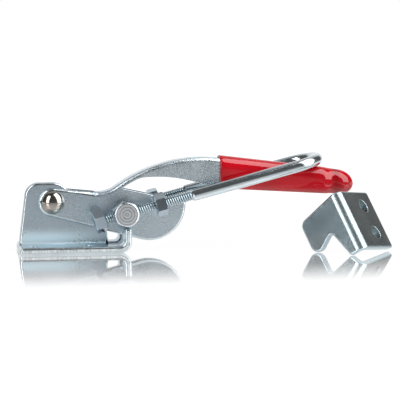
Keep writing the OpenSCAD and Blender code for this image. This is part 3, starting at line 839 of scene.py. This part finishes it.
def makeGrip():
    steps = grip["cornerSteps"]
    count = 4 * (steps + 1)
    clearSelection()
    bpy.ops.mesh.primitive_circle_add(vertices=count, radius=grip["half"], rotation=(0, math.pi / 2, 0))
    piece = newPiece("dippedGrip")
    bpy.ops.object.transform_apply(rotation=True)

    # height and half width of the sleeve at a distance from the pivot
    def section(x):
        body = min(1.0, (x - grip["start"]) / (grip["end"] - grip["start"]))
        top = grip["startTop"] + (grip["endTop"] - grip["startTop"]) * body
        low = grip["startLow"] + (grip["endLow"] - grip["startLow"]) * body
        half = grip["half"]
        past = (x - grip["end"]) / grip["nose"]
        if past > 0:
            drop = past * grip["nose"] * math.tan(math.radians(grip["slope"]))
            neck = min(1, past * 2)
            pinch = math.sin(neck * math.pi) ** 2
            half -= grip["waist"] * pinch + grip["slim"] * neck
            full = 1.0 if past < 0.5 else math.sqrt(max(0.02, 1 - (2 * past - 1) ** 2))
            middle = (top + low) / 2 - drop
            tall = ((top - low) / 2 - grip["sag"] * neck - grip["dip"] * pinch) * full
            return half * full, middle - tall, middle + tall
        return half, low, top

    def ringPoints(x, grow=0.0):
        half, low, top = section(x)
        half, low, top = half + grow, low - grow, top + grow
        # the lower corners are rounder only past the lever's tip, which they cover
        pastTip = min(1, max(0, (x - grip["tip"]) / grip["tipEase"]))
        lowEdge = grip["lowEdge"] + (grip["edge"] - grip["lowEdge"]) * pastTip
        points = []
        for cy, cz, a0 in ((1, 1, 0), (-1, 1, 90), (-1, -1, 180), (1, -1, 270)):
            r = min(grip["edge"] if cz > 0 else lowEdge, half * grip["roundest"],
                    (top - low) / 2 * grip["roundest"])
            for i in range(steps + 1):
                a = math.radians(a0 + 90 * i / steps)
                out = cy * (half - r) + r * math.cos(a)
                up = cz * ((top - low) / 2 - r) + r * math.sin(a)
                out *= 1 - grip["crown"] * (2 * up / (top - low)) ** 2  # sides a little crowned
                points.append(Vector((x, out, (top + low) / 2 + up)))
        return points

    def lay(points):
        closeMesh()
        ring = list(piece.data.vertices)[-count:]
        for point, at in zip(ring, points):
            point.co = pivotAt + at
        bpy.ops.object.mode_set(mode="EDIT")

    # the ring is extruded and laid on each station in turn, from deep in the mouth out to the nose
    inside = [ringPoints(grip["start"] + grip["deep"], -grip["wall"]),
              ringPoints(grip["start"] + grip["mouth"], -grip["wall"]),
              ringPoints(grip["start"], -grip["wall"] + grip["mouth"])]
    stations = [grip["start"] + (grip["end"] - grip["start"]) * i / grip["bodySteps"]
                for i in range(grip["bodySteps"] + 1)]
    stations += [grip["end"] + grip["nose"] * 0.5 * i / grip["waistSteps"]
                 for i in range(1, grip["waistSteps"] + 1)]
    stations += [grip["end"] + grip["nose"] * (0.5 + 0.5 * math.sin(math.pi / 2 * i / grip["noseSteps"]))
                 for i in range(1, grip["noseSteps"] + 1)]
    rings = inside + [ringPoints(grip["start"], -grip["lip"])]
    rings += [ringPoints(x) for x in [grip["start"] + grip["lipLong"]] + stations[1:]]
    openMesh(piece, "VERT", whole=True)
    lay(rings[0])
    for points in rings[1:]:
        bpy.ops.mesh.extrude_region_move()
        lay(points)
    bpy.ops.mesh.fill_grid()
    bpy.ops.mesh.select_all(action="DESELECT")
    closeMesh()
    for point in piece.data.vertices[:count]:
        point.select = True
    bpy.ops.object.mode_set(mode="EDIT")
    bpy.ops.mesh.edge_face_add()
    closeMesh()
    mergeAndTurnOut(piece)
    # slow unevenness of the dip
    for point in piece.data.vertices:
        outside = abs(point.co.y) > grip["half"] - grip["wall"] / 2
        if outside and point.co.x > pivotAt.x + grip["start"] + 1 * mm:
            sway = noise.noise(point.co * grip["unevenScale"])
            point.co.y += math.copysign(grip["uneven"], point.co.y) * sway
    addModifier(piece, "SUBSURF", levels=1, render_levels=1)
    paint(piece, dippedVinyl)
    pickUp(piece)
    bpy.ops.object.shade_smooth()
    carry(piece, "lever", "grip_vinyl", "grip")


makeGrip()
print("grip done")


# hook plate
hook = {"rim": 1.0 * mm, "holeShare": 0.25, "holeReach": 3.6 * mm,
        "topCorner": 1.6 * mm, "footCorner": 1.25 * mm, "cornerSteps": 5}
plateHoles = [mount for mount in frame["record"]["mounts"] if mount["name"].startswith("plate_hole")]


def makeHook():
    piece = solidCopy("hook_plate", "hookPlate")
    paint(piece, hookZinc, hookRim, hookBend, hookFlangePaintedLight, grooveShade)
    low, high = (Vector(hole["pos_m"]) for hole in plateHoles)
    through = Vector(plateHoles[0]["axis"])
    away = (high - low).cross(through).normalized()
    if away.x < 0:
        away.negate()
    far = max(point.co.dot(away) for point in piece.data.vertices)
    middle = (low + high) / 2
    # the two free corners of the flange, the upper one a little rounder
    for wide, upper in ((hook["topCorner"], True), (hook["footCorner"], False)):
        openMesh(piece, "EDGE")
        closeMesh()
        points = piece.data.vertices
        for edge in piece.data.edges:
            a, b = (points[i].co for i in edge.vertices)
            atEnd = min(a.dot(away), b.dot(away)) > far - 0.05 * mm
            edge.select = (atEnd and abs((b - a).normalized().dot(through)) > 0.9
                           and ((a - middle).dot(high - low) > 0) == upper)
        bpy.ops.object.mode_set(mode="EDIT")
        bpy.ops.mesh.bevel(offset=wide, segments=hook["cornerSteps"])
        closeMesh()

    outward = -through - away  # the outside of the bend faces between leaf and flange
    paintFaces(piece, 2, lambda at, way: way.dot(outward) > 1.05)
    # painted light: the flange's outer face takes the lighter copy of the zinc
    paintFaces(piece, 3, lambda at, way: way.dot(-through) > 0.99)

    def inHole(*places):
        return any((at - hole).cross(through).length < hook["holeReach"]
                   for at in places for hole in (low, high))

    def share(a, b):
        return hook["holeShare"] if inHole(a, b) else 1.0

    # painted shade: the walls of the screw holes are painted dark
    paintFaces(piece, 4, lambda at, way: abs(way.dot(through)) < 0.3 and inHole(at))

    roundEdges(piece, hook["rim"], share)
    carry(piece, "base", "plate_zinc", "hook_plate")


makeHook()
print("hook plate done")


# studio: white floor that mirrors close to the clamp, white behind, two soft boxes in front
studio = {"floorAt": (0.07, 0.10), "floorSize": (2.4, 1.7), "under": 0.02 * mm, "grey": 0.85, "polish": 0.04,
          "ior": 1.5, "mirror": 1.75, "glow": 1.12, "shade": 0.3, "far": 0.16, "fade": (-0.26, 0.05),
          "mirrorFade": (-0.135, -0.052), "mirrorEnd": (0.26, 0.08), "sideEnd": (0.25, 0.14),
          "level": 0.18, "rise": 0.10, "riseFrom": (-0.1, 0.35),
          "top": 0.60, "topWay": (0.66, 0.75), "topFrom": (0.76, 0.90),
          "low": 0.40, "lowFrom": (0.0, -0.3),
          "behind": 1.0, "behindFrom": (0.55, 0.82), "behindTop": (0.75, 0.45)}


def makeFloor():
    clearSelection()
    bpy.ops.mesh.primitive_plane_add(size=1, location=(*studio["floorAt"], -studio["under"]))
    floor = newPiece("studioFloor")
    floor.scale = (*studio["floorSize"], 1)
    bpy.ops.object.transform_apply(location=True, scale=True)
    material = bpy.data.materials.new("whiteFloor")
    material.use_nodes = True
    tree = material.node_tree
    tree.nodes.clear()
    output = addNode(tree, "ShaderNodeOutputMaterial")
    path = addNode(tree, "ShaderNodeLightPath")
    place = addNode(tree, "ShaderNodeSeparateXYZ")
    join(tree, addNode(tree, "ShaderNodeTexCoord").outputs["Object"], place.inputs[0])
    near = spread(tree, place.outputs["Y"], *studio["fade"])
    fromMiddle = sums(tree, "SUBTRACT", place.outputs["X"], studio["floorAt"][0])
    sideways = sums(tree, "ABSOLUTE", fromMiddle, 0.0)
    around = sums(tree, "MULTIPLY", spread(tree, place.outputs["Y"], *studio["mirrorEnd"]),
                  spread(tree, sideways, *studio["sideEnd"]))
    close = sums(tree, "MULTIPLY", spread(tree, place.outputs["Y"], *studio["mirrorFade"]), around)
    glow = addNode(tree, "ShaderNodeEmission")
    # metal sees the floor dimmer towards its front edge
    dimmed = sums(tree, "MULTIPLY", path.outputs["Is Glossy Ray"],
                  spread(tree, near, 1.0, 0.0, 0.0, 1 - studio["far"]))
    left = sums(tree, "SUBTRACT", 1.0, dimmed)
    join(tree, sums(tree, "MULTIPLY", left, studio["glow"]), glow.inputs["Strength"])
    plain = addNode(tree, "ShaderNodeBsdfDiffuse")
    plain.inputs["Color"].default_value = colour(studio["grey"], studio["grey"], studio["grey"])
    shine = addNode(tree, "ShaderNodeBsdfGlossy")
    shine.inputs["Roughness"].default_value = studio["polish"]
    shine.inputs["Color"].default_value = colour(1, 1, 1)
    edge = addNode(tree, "ShaderNodeFresnel")
    edge.inputs["IOR"].default_value = studio["ior"]
    white = addNode(tree, "ShaderNodeMixShader")
    # the clamp's shadow shows close to it, and the floor is plain white far off
    join(tree, sums(tree, "MULTIPLY", around, studio["shade"]), white.inputs[0])
    join(tree, glow.outputs[0], white.inputs[1])
    join(tree, plain.outputs[0], white.inputs[2])
    mirrored = addNode(tree, "ShaderNodeMixShader")
    strong = sums(tree, "MULTIPLY", edge.outputs[0], studio["mirror"])
    join(tree, sums(tree, "MULTIPLY", strong, close), mirrored.inputs[0])
    join(tree, white.outputs[0], mirrored.inputs[1])
    join(tree, shine.outputs[0], mirrored.inputs[2])
    seen = sums(tree, "MAXIMUM", path.outputs["Is Camera Ray"],
                sums(tree, "MAXIMUM", path.outputs["Is Glossy Ray"], path.outputs["Is Transmission Ray"]))
    final = addNode(tree, "ShaderNodeMixShader")
    join(tree, seen, final.inputs[0])
    join(tree, plain.outputs[0], final.inputs[1])
    join(tree, mirrored.outputs[0], final.inputs[2])
    join(tree, final.outputs[0], output.inputs["Surface"])
    paint(floor, material)


def makeWorld():
    world = bpy.data.worlds.new("studioWorld")
    bpy.context.scene.world = world
    world.use_nodes = True
    tree = world.node_tree
    tree.nodes.clear()
    output = addNode(tree, "ShaderNodeOutputWorld")
    way = addNode(tree, "ShaderNodeSeparateXYZ")
    join(tree, addNode(tree, "ShaderNodeTexCoord").outputs["Generated"], way.inputs[0])
    # dim round the camera, lighter low down and high up behind, white straight behind
    dim = spread(tree, way.outputs["Z"], *studio["riseFrom"], studio["level"], studio["rise"])
    overhead = sums(tree, "ADD", sums(tree, "MULTIPLY", way.outputs["Z"], studio["topWay"][1]),
                    sums(tree, "MULTIPLY", way.outputs["Y"], studio["topWay"][0]))
    high = spread(tree, overhead, *studio["topFrom"])
    under = spread(tree, way.outputs["Z"], *studio["lowFrom"])
    behind = sums(tree, "MULTIPLY", spread(tree, way.outputs["Y"], *studio["behindFrom"]),
                  spread(tree, way.outputs["Z"], *studio["behindTop"]))
    level = dim
    for share, wanted in ((high, "top"), (under, "low"), (behind, "behind")):
        kept = sums(tree, "MULTIPLY", level, sums(tree, "SUBTRACT", 1.0, share))
        level = sums(tree, "ADD", kept, sums(tree, "MULTIPLY", share, studio[wanted]))
    room = addNode(tree, "ShaderNodeBackground")
    join(tree, level, room.inputs["Strength"])
    white = addNode(tree, "ShaderNodeBackground")
    room.inputs["Color"].default_value = colour(1, 1, 1)
    white.inputs["Color"].default_value = colour(1, 1, 1)
    path = addNode(tree, "ShaderNodeLightPath")
    seen = addNode(tree, "ShaderNodeMixShader")
    join(tree, path.outputs["Is Camera Ray"], seen.inputs[0])
    join(tree, room.outputs[0], seen.inputs[1])
    join(tree, white.outputs[0], seen.inputs[2])
    join(tree, seen.outputs[0], output.inputs["Surface"])


# tall soft boxes: azimuth from the front, rise and distance as seen from the clamp
lamps = {
    "leftBox": {"azimuth": -50.0, "rise": 28.0, "away": 0.72,
                "size": (0.29, 0.85), "lean": 0.0, "power": 3.5},
    "rightBox": {"azimuth": 61.0, "rise": 36.0, "away": 0.72,
                 "size": (0.52, 1.20), "lean": -8.0, "power": 7.6},
}


def makeLamps():
    for name, lamp in lamps.items():
        turn, rise = math.radians(lamp["azimuth"]), math.radians(lamp["rise"])
        flat = math.cos(rise)
        way = Vector((math.sin(turn) * flat, -math.cos(turn) * flat, math.sin(rise)))
        clearSelection()
        bpy.ops.object.light_add(type="AREA", location=way * lamp["away"])
        light = bpy.context.active_object
        light.name = name
        light.data.shape = "RECTANGLE"
        light.data.size, light.data.size_y = lamp["size"]
        light.data.energy = lamp["power"]
        lean = Matrix.Rotation(math.radians(lamp["lean"]), 3, "Z")
        light.rotation_euler = ((-way).to_track_quat("-Z", "Y").to_matrix() @ lean).to_euler()


makeFloor()
makeWorld()
makeLamps()
print("studio done")


# camera, along the photograph's line of sight
view = {"at": (-68.5 * mm, -809.3 * mm, 101.7 * mm), "azimuth": -9.5, "elevation": 5.5, "lens": 157.5,
        "sensor": 36.0, "nearest": 0.01}


def makeCamera():
    clearSelection()
    bpy.ops.object.camera_add(location=view["at"])
    camera = bpy.context.active_object
    camera.name = "mainCamera"
    turn, rise = math.radians(view["azimuth"]), math.radians(view["elevation"])
    camera.rotation_euler = (math.pi / 2 - rise, 0, turn)
    camera.data.lens = view["lens"]
    camera.data.sensor_width = view["sensor"]
    camera.data.clip_start = view["nearest"]
    bpy.context.scene.camera = camera


makeCamera()
bpy.context.scene.view_settings.view_transform = "Standard"
clearSelection()
print("scene complete")
